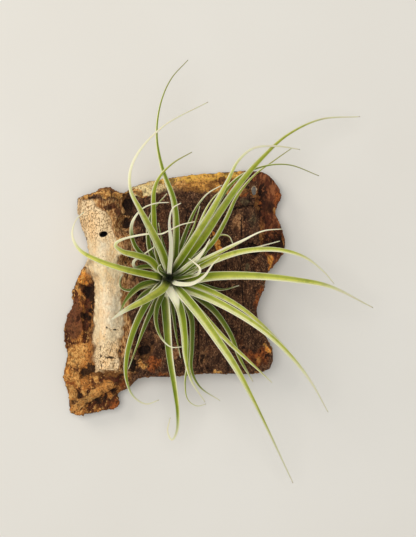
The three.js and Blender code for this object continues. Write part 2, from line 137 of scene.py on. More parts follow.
class Finish:
    """One material. It makes the nodes and sets the constants on the shader's own sockets."""

    def __init__(self, name, **constants):
        self.material = bpy.data.materials.new(name)
        self.material.use_nodes = True
        self.tree = self.material.node_tree
        self.shader = self.tree.nodes["Principled BSDF"]
        for socket, value in constants.items():
            self.shader.inputs[socket.replace("_", " ")].default_value = value

    def node(self, kind, settings, sockets, output=0):
        node = self.tree.nodes.new(kind)
        for name, value in settings.items():
            setattr(node, name, value)
        for name, value in sockets.items():
            if isinstance(value, Wire):
                self.tree.links.new(value.socket, node.inputs[name])
            else:
                node.inputs[name].default_value = value
        return Wire(self, node.outputs[output])

    def place(self):
        """Where the point is on the object, in metres."""
        return self.node("ShaderNodeTexCoord", {}, {}, "Object")

    def mark(self, name):
        """A number kept on the mesh's points."""
        return self.node("ShaderNodeAttribute", {"attribute_name": name}, {}, "Fac")

    def axis(self, where, letter):
        """One of the three numbers of a place."""
        return self.node("ShaderNodeSeparateXYZ", {}, {"Vector": where}, letter)

    def scaled(self, where, scale):
        return self.node("ShaderNodeMapping", {}, {"Vector": where, "Scale": scale})

    def cloud(self, where, scale, detail=3, roughness=0.55):
        """Soft noise about 0.5; scale is how many patches a metre, along x, y and z."""
        sockets = {"Vector": self.scaled(where, scale), "Scale": 1, "Detail": detail}
        return self.node("ShaderNodeTexNoise", {}, {**sockets, "Roughness": roughness})

    def bent(self, where, scale, reach):
        """The place pushed about by soft noise, up to that reach in metres."""
        sockets = {"Vector": where, "Scale": scale, "Detail": 2}
        push = self.node("ShaderNodeTexNoise", {}, sockets, "Color")
        sockets = {0: push, 1: (reach, reach, reach), 2: where}
        return self.node("ShaderNodeVectorMath", {"operation": "MULTIPLY_ADD"}, sockets)

    def cracks(self, where, scale):
        """How far the nearest border between cells is."""
        sockets = {"Vector": self.scaled(where, scale), "Scale": 1}
        return self.node("ShaderNodeTexVoronoi", {"feature": "DISTANCE_TO_EDGE"}, sockets)

    def mix(self, under, over, mask):
        sockets = {0: mask, 6: under, 7: over}
        return self.node("ShaderNodeMix", {"data_type": "RGBA"}, sockets, 2)

    def put(self, socket, value):
        self.tree.links.new(value.socket, self.shader.inputs[socket])

    def relief(self, height, depth, strength=1):
        sockets = {"Height": height, "Distance": depth, "Strength": strength}
        self.put("Normal", self.node("ShaderNodeBump", {}, sockets))


table_mesh = bpy.data.meshes.new("table")
table_form = bmesh.new()
bmesh.ops.create_grid(table_form, x_segments=2, y_segments=2, size=TABLE_HALF_WIDTH)
table_form.to_mesh(table_mesh)
table_form.free()
table = place_object("table", table_mesh)
table_finish = Finish("pale_table", Roughness=0.75, Specular_IOR_Level=0.2)
table_grain = table_finish.cloud(table_finish.place(), (6, 6, 6)).step(0.2, 0.8)
table_shade = table_finish.mix(colour(221, 218, 210), colour(225, 223, 216), table_grain)
table_finish.put("Base Color", table_shade)
table_mesh.materials.append(table_finish.material)


# Cork bark. One slab of dry cork, as it broke off the trunk: a dark fibrous plate, a pale
# rounded ridge with fine fissures, and orange flesh where it is torn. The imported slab's own skin
# is made finer here, roughened and stained.
def step(low, high, value):
    """0 up to low, 1 from high on, and smooth between. It falls where low is over high."""
    part = min(1, max(0, (value - low) / (high - low)))
    return part * part * (3 - 2 * part)


def spot(x, y, centre_x, centre_y, half_x, half_y):
    """1 in the middle of an oval, falling to 0 a little outside it."""
    return 1 - step(0.15, 1.35, math.hypot((x - centre_x) / half_x, (y - centre_y) / half_y))


def line(x, y, route, width):
    """1 on a broken line and 0 a width away from it."""
    nearest = width
    for (ax, ay), (bx, by) in zip(route, route[1:]):
        length = (bx - ax) ** 2 + (by - ay) ** 2
        part = min(1, max(0, ((x - ax) * (bx - ax) + (y - ay) * (by - ay)) / length))
        nearest = min(nearest, math.hypot(x - ax - part * (bx - ax), y - ay - part * (by - ay)))
    return 1 - nearest / width


def wander(x, y, first, second):
    """Two soft random numbers, -1 to 1, from two layers of noise."""
    return Vector((noise.noise(Vector((x, y, first))), noise.noise(Vector((x, y, second)))))


def sight_scale(height):
    """How large a plan read at the reading height comes out at this height, in line of sight."""
    return (EYE.z - height) / (EYE.z - READING_HEIGHT)


def rounded_copy(node, voxel, rounds):
    """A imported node's form with small even faces and softened edges."""
    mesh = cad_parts[node].data.copy()
    form = bmesh.new()
    form.from_mesh(mesh)
    bmesh.ops.remove_doubles(form, verts=form.verts, dist=0.001 * MM)
    form.to_mesh(mesh)
    form.free()
    rough = place_object("rough_" + node, mesh)
    remesh = rough.modifiers.new("skin", "REMESH")
    remesh.mode = "VOXEL"
    remesh.voxel_size = voxel
    soften = rough.modifiers.new("soften", "SMOOTH")
    soften.factor = 0.5
    soften.iterations = rounds
    bpy.context.view_layer.update()
    dressed = rough.evaluated_get(bpy.context.evaluated_depsgraph_get())
    smooth_mesh = bpy.data.meshes.new_from_object(dressed)
    bpy.data.objects.remove(rough)
    return smooth_mesh


# Millimetres in plan, east and north of the stem. A crack is its route, width and depth.
BARK_CRACKS = [
    ([(32, 34.8), (37, 35.8), (41, 36), (45.5, 36.6)], 0.9, 2.5),
    ([(46, 36), (46.2, 28), (45.6, 20), (46.4, 12)], 0.9, 2.2),
    ([(-31.2, -24.7), (-28.4, -25.6), (-25.2, -26)], 0.8, 1.3),
    ([(-34.4, -39), (-30, -39.7), (-25.6, -40.3)], 0.9, 1.4),
    ([(-34.4, -34), (-34.8, -39), (-34.2, -46)], 0.5, 1),
    ([(28, 20), (28.8, 6), (28, -8), (29, -20)], 0.7, 1),
    ([(36, 30), (36.6, 18), (35.8, 4), (37, -12), (36.2, -30)], 0.7, 1),
    ([(14, -18), (14.8, -30), (14.2, -44)], 0.7, 1),
    ([(-13, 40), (-12, 28), (-12.8, 18)], 0.7, 1),
    ([(8, 40), (8.8, 30), (8, 20)], 0.6, 1),
    ([(22, 40), (21, 28), (21.8, 14)], 0.6, 1),
]
# The black stains are dark pits of the cork, and also painted shade in hollows, cracks and pits.
# Stains of the upper face. Each is its centre, its half lengths east and north, and its strength.
BARK_STAINS = {
    "gold": [
        (-31.8, 43.6, 7.4, 3.4, 1.4), (-43.5, 41, 5, 2.6, 1), (-37.5, 42.2, 4, 2.4, 1.2),
        (-46.4, -39.4, 6.6, 7.6, 1.3), (-42.2, -34.4, 3, 3, 1.1), (-46.2, -52.4, 3, 2.4, 1.2),
        (-42.6, 2.8, 2.6, 2.4, 1.2), (4, 46.8, 8, 2.2, 1.1), (-15, 42.4, 3.6, 2.2, 1.1),
        (-42.4, -57, 3, 2.6, 0.9), (-47, -61.4, 3, 2.4, 0.9), (44.6, -41.4, 4, 3.6, 0.6),
        (-26.5, 41, 4.6, 2.6, 1.1), (-21, 43, 3, 2, 1), (-36.9, -50, 2.3, 3, 1),
        (-48.6, -49.6, 4.6, 3.6, 1.2), (-50, -57.6, 3, 5, 1.2), (-40.5, -67, 4, 2.6, 0.6),
        (-45.8, -2.4, 2.6, 5, 1.3), (-47.9, -10.8, 1.9, 3.4, 0.6), (-14, -43, 4.4, 2.8, 1.1),
        (23.5, -47.2, 4.6, 1.3, 1.1), (-41.2, 15.4, 1.2, 1.8, 0.8), (-2, -47.8, 3.4, 1.1, 0.7),
        (57.4, 18, 1.2, 5, 0.7), (52, 34, 1.6, 3, 0.6),
    ],
    "tan": [
        (-24.3, 22.2, 4.8, 3.2, 0.9), (-18.4, -2.8, 4.4, 4.6, 1), (-18.6, 24.6, 5, 4.2, 0.8),
        (-21.8, 15.4, 3.5, 2.8, 1), (-28, -43, 4.4, 2.6, 0.8), (34.6, 28.8, 4.2, 6.8, 0.8),
        (17.2, -39.3, 5, 7.2, 0.6), (-9, -20, 1.4, 4, 0.3), (24.5, 33, 3, 4, 0.4),
        (-37.5, -14.5, 1.6, 5, 0.5), (-43, -10.4, 1, 3.2, 0.7), (3.4, -37, 2.6, 4.4, 1.2),
        (-6, -29.8, 2.6, 3, 1), (8, -28, 2, 7, 0.3), (42, 10, 6, 2.2, 0.6),
    ],
    "leather": [(-46.6, -20.5, 6.4, 12, 1.3), (-44.6, -12, 4, 5, 0.8)],
    "rust": [
        (-38.7, -38.5, 2, 5.6, 0.8), (-49.3, -53.4, 2, 2.2, 1), (-23.2, -53.8, 2.4, 2.4, 0.9),
        (-27.6, -62.8, 4.4, 3.6, 0.9), (-8, -43, 4.6, 5.4, 1.3), (-11, 41.4, 3.2, 1.2, 0.9),
        (39.2, 42, 4.6, 1.3, 1.3), (45.4, 36.8, 1.3, 5.6, 0.9), (43.5, -40, 8.6, 7.4, 0.95),
        (44.4, -12, 1.6, 6, 0.9), (-2.6, -48.2, 5, 1.7, 0.8), (46.2, -6.4, 1.8, 4.4, 0.9),
        (54.4, 40, 2.6, 6.2, 1), (32, -22, 3.6, 4, 0.45), (42.6, 49.6, 1.8, 1.6, 0.9),
        (-26, -31, 1.2, 3, 0.4), (-42, -45, 4, 4, 0.6), (49.6, 29, 1.3, 9, 0.5),
        (16, -16.5, 1.4, 2.2, 0.6), (37.5, -32, 2.4, 4, 0.5), (1, -30, 1.2, 3, 0.5),
    ],
    "orange": [
        (21.7, 22.4, 1.7, 1.8, 1), (24.5, 15.6, 2.6, 4.2, 1.4), (50.2, 8, 2.3, 4.8, 1.2),
        (49.4, -36.2, 1.9, 3.2, 0.9), (-43.2, 0.6, 3.6, 4.2, 1.1), (-13.4, -42.6, 2, 1.2, 0.7),
        (-50.8, -46.4, 1.6, 3.2, 0.8),
    ],
    "moss": [
        (38.2, 38.4, 4.8, 2.6, 0.9), (42, 28.8, 3.4, 7, 0.7), (39, 5.4, 2.3, 2.2, 0.9),
        (44, 22, 1.2, 1.2, 0.9), (22, -8, 3, 2, 0.3), (30.4, -18.6, 5, 1, 0.5),
    ],
    "maroon": [
        (-40.8, -4.4, 4.4, 4.8, 1.3), (-40.2, -13.8, 3, 5.4, 1.1), (-41, -24, 2.6, 5.6, 0.9),
        (-30, 35.6, 7, 2.8, 1), (-24.6, 32.6, 3.4, 4, 1), (-33.5, 39.6, 4, 1.8, 0.4),
        (-28.4, -50.6, 6.4, 3.6, 0.9), (26.2, 49, 1.9, 2.4, 0.9), (52, 12, 2, 5, 0.7),
        (50, 28.6, 2, 4.4, 0.9), (-46, -21, 2, 3.4, 0.6), (13, 48.6, 1.9, 1.2, 0.6),
    ],
    "black_and_shade": [
        (-24.8, 21.2, 1, 0.6, 0.9), (-30.8, -29.6, 0.6, 0.9, 0.75), (-27.6, -30, 0.5, 0.9, 0.7),
        (-29.8, -31.8, 0.9, 0.6, 0.65), (-29, -35.6, 1.4, 0.5, 0.6), (-32, -43.4, 1.8, 0.5, 0.6),
        (-27.4, -42.6, 0.9, 0.6, 0.6), (40.5, 14.4, 7, 2, 1.2), (52.6, 16.6, 6.6, 6.2, 1.15),
        (49.4, 19.4, 4, 3.4, 1), (-39.4, -8, 2.4, 7, 1.1), (-20.8, 36.8, 3, 4.6, 1),
        (-21.6, 27.8, 3.4, 2.6, 0.9), (-21.8, 8.8, 2.6, 2.4, 1.1), (-20.6, 31.8, 3, 3.2, 1),
        (-15.6, 33, 5, 8, 0.75), (-23.4, -38, 2, 8, 0.6), (-19.6, 5.4, 2.2, 2, 0.7),
        (-21, 32, 1.6, 4.4, 0.9), (-17.4, 39.4, 2.6, 1.4, 0.8), (-24.8, 26.4, 2.4, 1.2, 0.9),
        (-14.6, -30, 1.5, 4.6, 1), (-9.4, -33.4, 1.3, 3.2, 0.9), (-15.6, -24, 1, 4, 0.7),
        (-39, -5, 1.4, 3.2, 1), (-38.8, -14, 1.4, 9, 1), (-42, -19, 3.4, 2.4, 0.8),
        (-40.8, -46, 4.4, 3.2, 1.1), (-45.8, -56.8, 2.4, 2, 1), (-34.4, -61, 3.8, 5.4, 0.85),
        (-27.4, -56.8, 4.8, 2.6, 0.8), (-12.4, -36.3, 2.6, 3.4, 1), (-18, -44.6, 3.4, 4.4, 1.2),
        (38.6, 10.2, 4.4, 2.4, 0.5), (37.2, 15.8, 4, 2, 1), (46.8, 43.4, 3.2, 5.8, 0.85),
        (51.2, -38, 1.2, 2, 0.9), (35, 48, 4.2, 2.4, 0.7), (-6, 30, 2.6, 9, 0.35),
        (-18, 6, 2, 3, 0.4), (24, 12, 1.4, 2.4, 0.6), (6, -46.5, 1.6, 2.4, 0.4),
        (-23.6, -46.6, 1.2, 4, 0.9), (18, 44, 1.6, 1, 0.4),
    ],
}
# The flake is a pale strip over the block: its route and its half width.
FLAKE_ROUTE, FLAKE_HALF = [(-29.8, -53.4), (-37.5, -57.8), (-47, -65)], 2.2
# Ovals, each with its centre and its half lengths east and north.
KNOT = (-33, 22, 3.2, 2.6)
TEAR = (42.5, 43.5, 3.4, 4.4)
# Ovals of the pale face painted lighter: painted light on slopes that the lamp leaves dull.
LIT_PATCHES = [(-29, -16, 7, 14), (-33, 14.5, 4, 7)]
FLAT_SPOT = (-1, -4, 30, 34)  # what the slab rests on
ROAM_REACH, FRAY_REACH = 2.2, 1.3  # how far the borders of its parts wander and fray
BARK_VOXEL = 0.62 * MM

slab_mesh = rounded_copy("cork_bark", BARK_VOXEL, 10)
BARK_PARTS = ("cream", "lit_patch", "north", "rim", "flank", "flesh", "block", "flap")
BARK_MARKS = (*BARK_PARTS, *BARK_STAINS, "cracked", "raised", "torn")
marks = {mark: [] for mark in BARK_MARKS}
moved = []
for point in slab_mesh.vertices:
    sight = sight_scale(point.co.z)
    x = (EYE.x + (point.co.x - EYE.x) / sight) / MM
    y = (EYE.y + (point.co.y - EYE.y) / sight) / MM
    z = point.co.z / MM
    side = 1 - step(0.3, 0.65, abs(point.normal.z))
    under = step(0.2, 0.6, -point.normal.z)
    top = (1 - side) * (1 - under)

    # Where the parts of the slab meet. Each part's name is 1 on it and 0 off it.
    roam = wander(x / 5, y / 5, 1, 8)
    fray = wander(x / 1.7, y / 2.4, 2, 5)
    px = x + ROAM_REACH * roam.x + FRAY_REACH * fray.x
    py = y + ROAM_REACH * roam.y + FRAY_REACH * fray.y
    west = -37.8 - 3.5 * step(-4, 6, y) - 4.5 * step(18, 38, y)  # where the ridge begins
    west -= 1.3 * (spot(0, y, 0, -19, 1, 2.6) + spot(0, y, 0, -28.5, 1, 4))
    face_end = -24.2 - 4.6 * step(12, 24, y) - 9 * step(29, 38, y)  # of the ridge's pale face
    face_end += 0.7 * step(-6, -10, y) - 2 * step(-29, -34, y) - 0.8 * step(4, 2, abs(y - 9))
    ridge_end = -18.8 + 1.3 * math.sin(y / 9)
    whole = step(-48.2, -47, y + 0.6 * fray.y)  # the ridge is broken off south of there
    bare = 5 * step(5, 8, y)  # no ledge lies before the ridge there
    ridge = step(west - 1 - bare, west + 0.4 - bare, x + 0.5 * fray.x)
    ridge *= 1 - step(ridge_end - 1, ridge_end + 1, px)
    ridge *= whole
    ridge *= 1 - step(38.5, 40, y + 1.5 * roam.y + 4 * side * noise.noise(point.co / (3.2 * MM)))
    foot = 6 + 6.5 * (1 - step(4, 8, y))  # where the ledge or the table meets the pale face
    pale_wall = side * ridge * step(foot, foot + 2.5, z) * (1 - step(west + 4, west + 6, x))
    pale_face = ridge * (1 - step(face_end - 0.8, face_end + 0.8, px)) * step(12, 17, z)
    pale_face = max(pale_face * (1 - side), pale_wall)
    ledge = (1 - step(west - 1.2, west + 0.2, x + 0.5 * fray.x)) * (1 - step(4, 7, y))
    block = (1 - whole) * (1 - step(-21, -18, x)) + ledge * (1 - step(-50, -44, y)) * whole
    brow = 42.8 - 1.9 * step(-5, -10, x) + spot(x, 0, 3, 0, 14, 1) - 1.2 * step(24, 34, x)
    north = step(brow - 0.5, brow + 0.5, y + 1.2 * fray.y + 0.8 * roam.y) * step(-20, -17, x)
    north *= 1 - step(35, 39, x)
    flap = step(44, 46, px - 0.12 * (36 - y)) * step(2, 6, y)
    plate = max(0, 1 - ridge - ledge - block - north - flap)

    # The relief: fibres, crumbs, broad swells and the pores between lumps.
    fibre = noise.noise(Vector((px / 1.3, y / 4.2, z / 5)))
    crumbs = noise.fractal(Vector((x / 2.6, y / 3.4, z / 2.4)), 0.8, 2.1, 4)
    swell = noise.noise(Vector((px / 5, py / 7, z / 9 + 5)))
    lump = 0.5 - noise.voronoi(Vector((px / 3.6, py / 4.2, z / 3.5)))[0][0]
    pits = step(0.24, 0.46, noise.noise(Vector((px / 2.6, py / 4.6, 12))))
    crack = 0
    crack_depth = 0
    if top > 0.2:
        for crack_route, crack_width, deepest in BARK_CRACKS:
            here = line(x + 0.3 * fray.x, y + 0.3 * fray.y, crack_route, crack_width)
            crack = max(crack, here)
            crack_depth = max(crack_depth, here * deepest)
    knot = spot(x, y, *KNOT)
    tear = side * spot(x, y, *TEAR)
    stains = {}
    for tone, places in BARK_STAINS.items():
        near = [row for row in places if abs(x - row[0]) < row[2] + 5 and abs(y - row[1]) < row[3] + 5]
        shown = (1 - under) * (1 - side * step(12, 15, z)) if tone == "black_and_shade" else top
        stains[tone] = shown * max([row[4] * spot(px, py, *row[:4]) for row in near], default=0)
    flake = line(x + 0.6 * fray.x, y + 0.6 * fray.y, FLAKE_ROUTE, FLAKE_HALF * 1.5)
    flake = top * step(0.25, 0.5, flake)
    for tone in stains:
        stains[tone] *= 1 - flake

    # How far the skin is pushed out, in millimetres.
    push = ridge * (0.5 * swell + 0.3 * crumbs + 0.25 * lump)
    push += (ridge - pale_face) * 0.5 * fibre
    push += plate * (0.55 * fibre + 0.6 * crumbs + 0.7 * lump + 0.4 * swell - 0.9 * pits)
    push += north * (0.7 * crumbs + 0.8 * lump + 0.4 * swell)
    push += flap * (1.2 * swell + 0.5 * crumbs + 0.3 * fibre)
    push += (ledge + block) * (1.5 * lump + 1.1 * crumbs + 0.5 * swell) * (1 - 0.7 * flake)
    push += 0.5 * stains["orange"] + 0.4 * stains["gold"] * lump - 1.5 * stains["black_and_shade"] + 0.8 * flake
    wall = 1.3 * lump + 0.9 * crumbs - 0.9
    push = push * (1 - side) + side * wall * (1 - tear) + 0.6 * tear
    push -= crack_depth * top
    push *= 1 - knot
    push = (1 - under) * push + under * 0.25 * crumbs
    from_middle = math.hypot((x - FLAT_SPOT[0]) / FLAT_SPOT[2], (y - FLAT_SPOT[1]) / FLAT_SPOT[3])
    flat = under * (1 - step(0.9, 1, from_middle))
    target = point.co + point.normal * push * (1 - flat) * MM
    target.y -= (y - KNOT[1] - 0.25 * (x - KNOT[0])) * 0.35 * knot * MM  # pinches the knot hole
    target.z = max(target.z, 0)
    if flat > 0.5 and z < 1.5:
        target.z = 0
    moved.append(target)

    marks["cream"].append(pale_face)
    marks["lit_patch"].append(max(spot(px, py, *oval) for oval in LIT_PATCHES))
    marks["north"].append(north * (1 - under) * (1 - 0.9 * side * step(16, 9, z + 3 * fray.x)))
    marks["rim"].append(north * (1 - side) * step(46.6, 48.6, y + fray.y - 0.08 * x))
    marks["raised"].append(0.5 + 0.4 * crumbs + 0.3 * lump + 0.25 * fibre)
    # Painted light on the low walls of the tear.
    marks["torn"].append(tear * step(12, 10, z))
    marks["flank"].append(max(0, ridge - pale_face) * step(13, 17, z))
    marks["flesh"].append(0.8 * side * (1 - pale_wall))
    marks["block"].append(min(1, ledge + block) * (1 - under))
    marks["flap"].append(flap * (1 - under))
    cracked_north = step(15, 24, y + 3 * swell)
    cracked_south = 0.8 * (1 - step(-36, -25, y - 0.35 * (x + 29) + 3 * swell))
    marks["cracked"].append(max(cracked_north, cracked_south))
    stains["gold"] = max(stains["gold"], 0.66 * flake)
    crack_shadow = crack * top * (1.15 + 0.7 * fray.x)
    # Painted shade along the cracks and in the pits of the plate, added to the black mark.
    stains["black_and_shade"] = max(stains["black_and_shade"], crack_shadow, 0.75 * pits * plate * top)
    for tone, strength in stains.items():
        marks[tone].append(strength)
for point, target in zip(slab_mesh.vertices, moved):
    point.co = target
for mark, values in marks.items():
    slab_mesh.attributes.new(mark, "FLOAT", "POINT").data.foreach_set("value", values)
slab_mesh.shade_smooth()
slab_mesh.materials.clear()
slab = place_object("cork_slab", slab_mesh)

bark = Finish("cork_bark", Roughness=0.9, Specular_IOR_Level=0.2)
bark_place = bark.place()
grown = bark.bent(bark_place, 400, 0.0016)  # the place, bent as the grain is
streaks = bark.cloud(grown, (750, 240, 500), 4)
flecks = bark.cloud(grown, (1000, 620, 900), 3)
patches = bark.cloud(grown, (150, 95, 150), 3)
specks = bark.cloud(bark_place, (1700, 900, 1500), 2)
pores = bark.cloud(grown, (1500, 1100, 1500), 2)
hairs = bark.cloud(grown, (2100, 340, 900), 3)
breakup = flecks * 0.6 + patches * 0.4  # what frays the edges of every stain
# Painted shade in the low places between lumps, taken from how far the skin is pushed.
sunken_shade = 1 - bark.mark("raised").step(0.2, 0.46)


def stained(tone, low=0.42, high=0.62, ragged=0.9):
    """1 where a stain shows, with an edge that is frayed by the bark's own grain."""
    return (bark.mark(tone) * 0.62 + breakup * ragged + 0.15 - 0.5 * ragged).step(low, high)


brown = bark.mix(colour(66, 43, 30), colour(102, 69, 47), streaks.step(0.38, 0.62))
brown = bark.mix(brown, colour(98, 58, 36), patches.step(0.5, 0.66) * 0.6)
brown = bark.mix(brown, colour(166, 122, 86), specks.step(0.54, 0.66) * (0.3 + patches * 1.1))
brown = bark.mix(brown, colour(28, 17, 12), pores.step(0.52, 0.64) * 0.8)
umber = bark.mix(colour(200, 132, 64), colour(92, 50, 27), patches.step(0.44, 0.58))
umber = bark.mix(umber, colour(244, 186, 108), flecks.step(0.53, 0.62) * 0.75)
umber = bark.mix(umber, colour(44, 22, 12), pores.step(0.55, 0.64) * 0.82)
flesh = bark.mix(colour(190, 132, 70), colour(128, 74, 36), flecks.step(0.42, 0.6))
flesh = bark.mix(flesh, colour(80, 44, 22), pores.step(0.55, 0.66) * 0.6)
mahogany = bark.mix(colour(98, 52, 32), colour(156, 96, 58), streaks.step(0.44, 0.62))
mahogany = bark.mix(mahogany, colour(48, 26, 18), patches.step(0.5, 0.66) * 0.7)
to_gold = bark.axis(grown, "X").step(-0.006, 0.012)  # the rind is pale in the west
rind = bark.mix(colour(255, 230, 168), colour(226, 164, 80), to_gold)
rind = bark.mix(rind, colour(150, 98, 46), flecks.step(0.48, 0.6) * (0.35 + to_gold * 0.5))
rind = bark.mix(rind, colour(112, 68, 32), patches.step(0.45, 0.56) * to_gold * 0.75)
rind = bark.mix(rind, colour(84, 50, 26), pores.step(0.54, 0.64) * 0.65)
lit_rim = bark.mark("rim") * breakup.step(0.4, 0.5)
rind = bark.mix(rind, colour(250, 198, 90), lit_rim * 0.9)
fibres = bark.mix(colour(182, 122, 68), colour(236, 192, 130), hairs.step(0.48, 0.6))
fibres = bark.mix(fibres, colour(96, 56, 30), (1 - hairs).step(0.52, 0.62) * 0.8)
skin = bark.mix(brown, umber, bark.mark("block"))
skin = bark.mix(skin, mahogany, bark.mark("flap"))
skin = bark.mix(skin, flesh, bark.mark("flesh"))
skin = bark.mix(skin, fibres, bark.mark("flank"))
skin = bark.mix(skin, rind, bark.mark("north"))

# A stain's lighter colour, its darker one and how much of what is under it it covers.
STAIN_COLOURS = {
    "tan": (colour(204, 152, 104), colour(140, 94, 58), 0.8),
    "leather": (colour(128, 78, 50), colour(92, 52, 34), 0.9),
    "maroon": (colour(98, 50, 32), colour(56, 27, 18), 0.85),
    "moss": (colour(112, 102, 72), colour(70, 58, 42), 0.7),
    "rust": (colour(176, 98, 46), colour(108, 54, 26), 0.85),
    "gold": (colour(240, 184, 106), colour(186, 122, 58), 0.92),
    "orange": (colour(252, 184, 92), colour(222, 132, 50), 1),
}
for tone, (light, dark, most) in STAIN_COLOURS.items():
    paint = bark.mix(light, dark, flecks.step(0.44, 0.6))
    paint = bark.mix(paint, colour(60, 32, 18), pores.step(0.57, 0.66) * 0.72)
    skin = bark.mix(skin, paint, stained(tone) * most)
# Painted shade between the lumps.
skin = bark.mix(skin, colour(44, 24, 15), sunken_shade * 0.7)

# The ridge's pale face, lighter in two patches as painted light, and finely cracked at both ends.
pale = bark.mix(colour(255, 230, 184), colour(255, 216, 160), patches.step(0.42, 0.62))
pale = bark.mix(pale, colour(255, 238, 202), streaks.step(0.5, 0.66) * 0.5)
pale = bark.mix(pale, colour(255, 244, 218), bark.mark("lit_patch") * 0.5)
pale = bark.mix(pale, colour(228, 182, 124), hairs.step(0.6, 0.7) * 0.45)
# Painted shade in the low places of the pale face.
pale_hollow_shade = 1 - bark.mark("raised").step(0.14, 0.34)
pale = bark.mix(pale, colour(226, 176, 120), pale_hollow_shade * 0.35)
pale = bark.mix(pale, colour(244, 202, 148), bark.mark("cracked") * 0.4)
scale_gaps = bark.cracks(bark.bent(bark_place, 900, 0.0008), (760, 640, 700))
dashes = (1 - scale_gaps.step(0.03, 0.17)) * specks.step(0.44, 0.56)
pale = bark.mix(pale, colour(140, 96, 52), dashes * bark.mark("cracked") * 0.85)
pale = bark.mix(pale, colour(160, 114, 70), dashes * flecks.step(0.55, 0.64) * 0.45)
pinholes = bark.cloud(bark_place, (900, 700, 900)).step(0.67, 0.75)
pale = bark.mix(pale, colour(92, 58, 32), pinholes * 0.7)
skin = bark.mix(skin, pale, bark.mark("cream"))
# Near black, for the dark pits and the painted shade in hollows, cracks and pits.
black_and_shade = bark.mix(colour(22, 13, 10), colour(54, 33, 23), flecks.step(0.46, 0.66))
skin = bark.mix(skin, black_and_shade, stained("black_and_shade", 0.46, 0.62, 2) * 0.92)

# Painted shade in the knot hole's mouth: where it is, how it is turned and its half lengths, in metres.
KNOT_MOUTH = {
    "Location": (-0.0325, 0.0218, 0.027), "Rotation": (0, 0, 0.3), "Scale": (0.00215, 0.0015, 0.02),
}
mouth = {"Vector": bark_place, **KNOT_MOUTH}
in_mouth = bark.node("ShaderNodeMapping", {"vector_type": "TEXTURE"}, mouth)
off_mouth = bark.node("ShaderNodeVectorMath", {"operation": "LENGTH"}, {0: in_mouth}, "Value")
# Painted shade: the mouth of the knot hole is near black.
skin = bark.mix(skin, colour(14, 9, 7), 1 - off_mouth.step(0.88, 1.04))
# Painted light: the low walls of the tear are pale, standing for the lit table seen through it.
skin = bark.mix(skin, colour(246, 228, 196), bark.mark("torn").step(0.3, 0.8))
bark.put("Base Color", skin)
bark.put("Roughness", 0.8 + pores * 0.18)
coarse = 1 - bark.mark("cream") * 0.55
grain = (streaks * 0.4 + flecks * 0.4 + specks * 0.3 - pores * 0.4) * coarse
bark.relief(grain - dashes * 0.25, 0.001)
slab_mesh.materials.append(bark.material)
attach(slab, "root")
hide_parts("cork_bark")


# Stem. The short axis that the leaves grow round, wrapped in the pale scurfy sheaths of their
# bases. It tapers to a small hollow, painted near black as shade, where the youngest leaves unfold.
STEM_FOOT, STEM_RISE = 24.5, 26  # height of its foot and from there to its tip, in millimetres
FOOT_RADIUS, TIP_RADIUS = 7.2, 1.8
STEM_BOTTOM = 21.4  # among the roots
STEM_INSET = 0.9  # from the leaf bases in to its skin
HOLLOW_DEPTH = 7
SHEATH_LENGTH, SHEATH_HALF_WIDTH, SHEATH_RISE = 10, 3.6, 1.5
SHEATH_TURN = math.radians(137.5)  # from one sheath to the next, the way leaves grow
SHEATHS = 26


# A leaf's rank is 1 for the youngest, at the tip, and 0 for the oldest, at the foot.
def root_radius(rank):
    return FOOT_RADIUS + (TIP_RADIUS - FOOT_RADIUS) * rank


def root_height(rank):
    return STEM_FOOT + STEM_RISE * rank


def in_sight(x, y, z):
    """Where a point of the plan is, drawn in along the line of sight by its height."""
    scale = sight_scale(z * MM)
    return Vector((EYE.x + (x * MM - EYE.x) * scale, EYE.y + (y * MM - EYE.y) * scale, z * MM))


stem_form = bmesh.new()
profile = [(0, STEM_BOTTOM), (root_radius(0) - 2 * STEM_INSET, STEM_BOTTOM + 0.2)]
profile += [(root_radius(k / 60) - STEM_INSET, root_height(k / 60)) for k in range(55)]
profile += [(1.1, root_height(0.96)), (0.8, root_height(0.9)), (0, root_height(1) - HOLLOW_DEPTH)]
stem_points = [stem_form.verts.new((radius, 0, height)) for radius, height in profile]
stem_edges = [stem_form.edges.new(pair) for pair in zip(stem_points, stem_points[1:])]
bmesh.ops.spin(
    stem_form, geom=stem_points + stem_edges, cent=(0, 0, 0), axis=(0, 0, 1), dvec=(0, 0, 0),
    angle=2 * math.pi, steps=120, use_merge=True, use_duplicate=False,
)
bmesh.ops.remove_doubles(stem_form, verts=stem_form.verts, dist=0.001)
bmesh.ops.recalc_face_normals(stem_form, faces=stem_form.faces)
sheath_mark = stem_form.verts.layers.float.new("sheath")
hollow_shade_mark = stem_form.verts.layers.float.new("hollow")
for point in stem_form.verts:
    x, y, z = point.co
    radius = math.hypot(x, y)
    outside = radius > 1.5 and z > 22 and z < root_height(0.9)
    cover = 0  # how thick the sheaths are here, 0 to 1
    for count in range(SHEATHS if outside else 0):
        low = STEM_FOOT - 8 + (STEM_RISE + 4) * count / SHEATHS
        turn = (math.atan2(y, x) - count * SHEATH_TURN + math.pi) % (2 * math.pi) - math.pi
        up = (z - low) / SHEATH_LENGTH
        away = abs(turn) * radius / (SHEATH_HALF_WIDTH * math.sqrt(max(0.01, 1 - 0.8 * up)))
        if 0 < up < 1 and away < 1:
            cover = max(cover, (1 - away ** 5) * (0.3 + 0.7 * (1 - up)) * step(0, 0.12, up))
    if outside:
        point.co.xy *= 1 + SHEATH_RISE * (cover - 0.35) / radius
    point[sheath_mark] = cover
    point[hollow_shade_mark] = step(1.75, 1.4, radius) * step(38, 40, z)
    point.co = in_sight(*point.co)
stem_mesh = bpy.data.meshes.new("stem_core")
stem_form.to_mesh(stem_mesh)
stem_form.free()
stem_mesh.shade_smooth()
stem = place_object("stem_core", stem_mesh)
